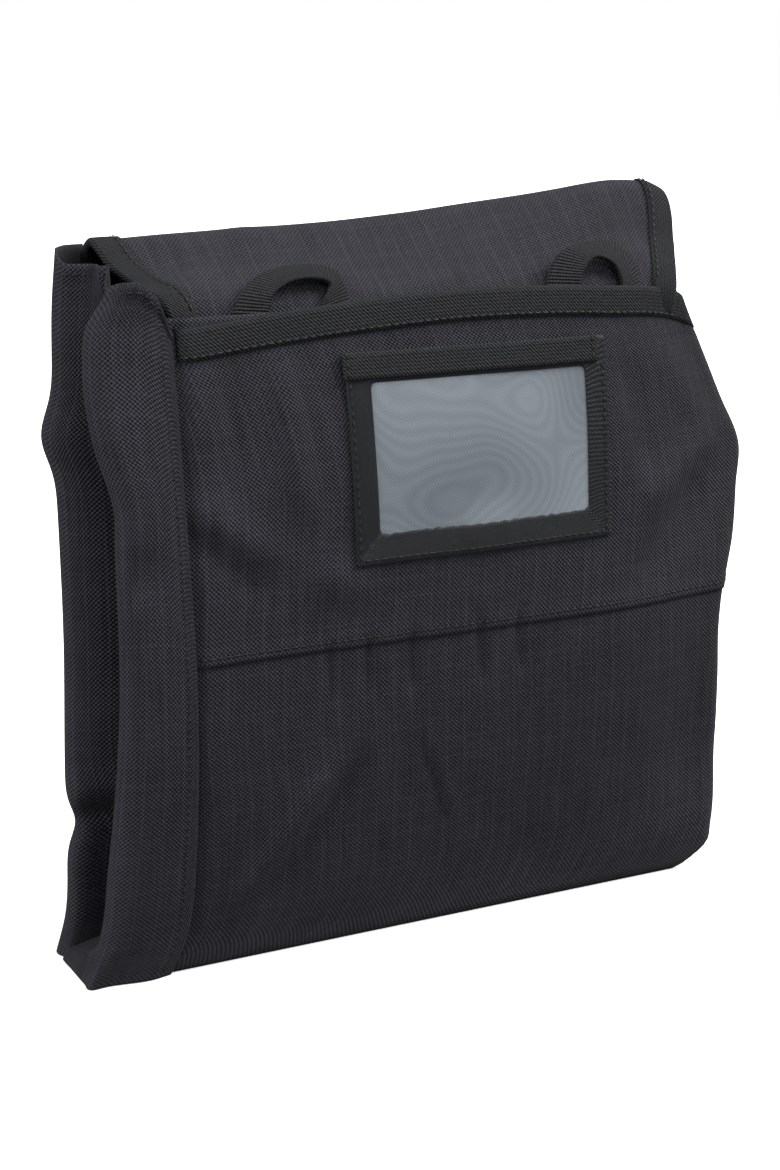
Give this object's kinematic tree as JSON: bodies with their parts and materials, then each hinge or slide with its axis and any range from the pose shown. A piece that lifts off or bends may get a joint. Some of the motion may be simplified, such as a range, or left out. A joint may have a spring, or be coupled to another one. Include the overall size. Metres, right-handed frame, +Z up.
{
  "type": "film changing bag",
  "caption": "Light-tight film changing bag, folded with its sleeves and zips into its own bellows pouch with a tuck-in flap, label window and webbing loops.",
  "frame": {"origin": "middle of the pouch's footprint, on the surface it stands on", "axes": "+X to the right along the front, +Y to the back, +Z up"},
  "size_m": [0.2898, 0.0654, 0.2781],
  "materials": {
    "pouch_cloth": "ripstop-woven polyester, coated inside, matt with a faint sheen",
    "bag_cloth": "closely woven nylon, matt",
    "lining_cloth": "rubberised light-tight cloth, dull",
    "elastic": "ribbed woven elastic",
    "zip_chain": "woven zip tape with a moulded nylon chain",
    "zip_metal": "die-cast zinc, black enamel, semi-gloss",
    "edge_tape": "twill-woven polyester binding tape",
    "label_cloth": "coated plain-woven polyester, slight gloss",
    "window_film": "frosted scrim-reinforced vinyl film",
    "webbing": "ribbed woven polypropylene webbing"
  },
  "bodies": {
    "pouch": {"back_panel": "pouch_cloth", "bottom_panel": "pouch_cloth", "left_gusset_back": "pouch_cloth", "right_gusset_back": "pouch_cloth", "outer_bag_fold": "bag_cloth", "inner_bag_fold": "lining_cloth", "left_sleeve": "lining_cloth", "right_sleeve": "lining_cloth", "left_cuff": "elastic", "right_cuff": "elastic", "outer_zip": "zip_chain", "outer_zip_stops": "zip_metal", "inner_zip": "zip_chain", "inner_zip_stops": "zip_metal"},
    "front": {"front_panel": "pouch_cloth", "front_pocket": "pouch_cloth", "front_edge_binding": "edge_tape", "left_gusset_front": "pouch_cloth", "right_gusset_front": "pouch_cloth", "label_frame": "label_cloth", "label_window": "window_film", "label_header_tape": "edge_tape"},
    "flap": {"flap_panel": "pouch_cloth", "flap_left_binding": "edge_tape", "flap_right_binding": "edge_tape", "flap_end_binding": "edge_tape"},
    "left_loop": {"left_webbing_loop": "webbing"},
    "right_loop": {"right_webbing_loop": "webbing"},
    "outer_slider": {"outer_zip_slider": "zip_metal"},
    "outer_pull": {"outer_zip_pull": "zip_metal"},
    "inner_slider": {"inner_zip_slider": "zip_metal"},
    "inner_pull": {"inner_zip_pull": "zip_metal"}
  },
  "joints": [
    {"name": "flap_lift", "type": "hinge", "parent": "pouch", "child": "flap", "pos_m": [0, 0.03087, 0.245], "axis": [-1, 0, 0], "range_deg": [0, 175]},
    {"name": "front_open", "type": "hinge", "parent": "pouch", "child": "front", "pos_m": [0, -0.0177, 0.0008], "axis": [1, 0, 0], "range_deg": [0, 12], "stiffness_Nm_per_rad": 0.5, "springref_deg": -6.88},
    {"name": "left_loop_swing", "type": "hinge", "parent": "front", "child": "left_loop", "pos_m": [-0.0605, -0.0175, 0.2488], "axis": [1, 0, 0], "range_deg": [0, 75], "stiffness_Nm_per_rad": 0.01, "springref_deg": -5.73},
    {"name": "right_loop_swing", "type": "hinge", "parent": "front", "child": "right_loop", "pos_m": [0.0675, -0.0175, 0.2488], "axis": [1, 0, 0], "range_deg": [0, 75], "stiffness_Nm_per_rad": 0.01, "springref_deg": -5.73},
    {"name": "outer_zip_run", "type": "slide", "parent": "pouch", "child": "outer_slider", "axis": [1, 0, 0], "range_m": [0, 0.166]},
    {"name": "outer_pull_flip", "type": "hinge", "parent": "outer_slider", "child": "outer_pull", "pos_m": [-0.083, 0.0144, 0.24515], "axis": [0, -1, 0], "range_deg": [0, 180]},
    {"name": "inner_zip_run", "type": "slide", "parent": "pouch", "child": "inner_slider", "axis": [1, 0, 0], "range_m": [0, 0.166]},
    {"name": "inner_pull_flip", "type": "hinge", "parent": "inner_slider", "child": "inner_pull", "pos_m": [-0.083, -0.0044, 0.23515], "axis": [0, -1, 0], "range_deg": [0, 180]}
  ]
}
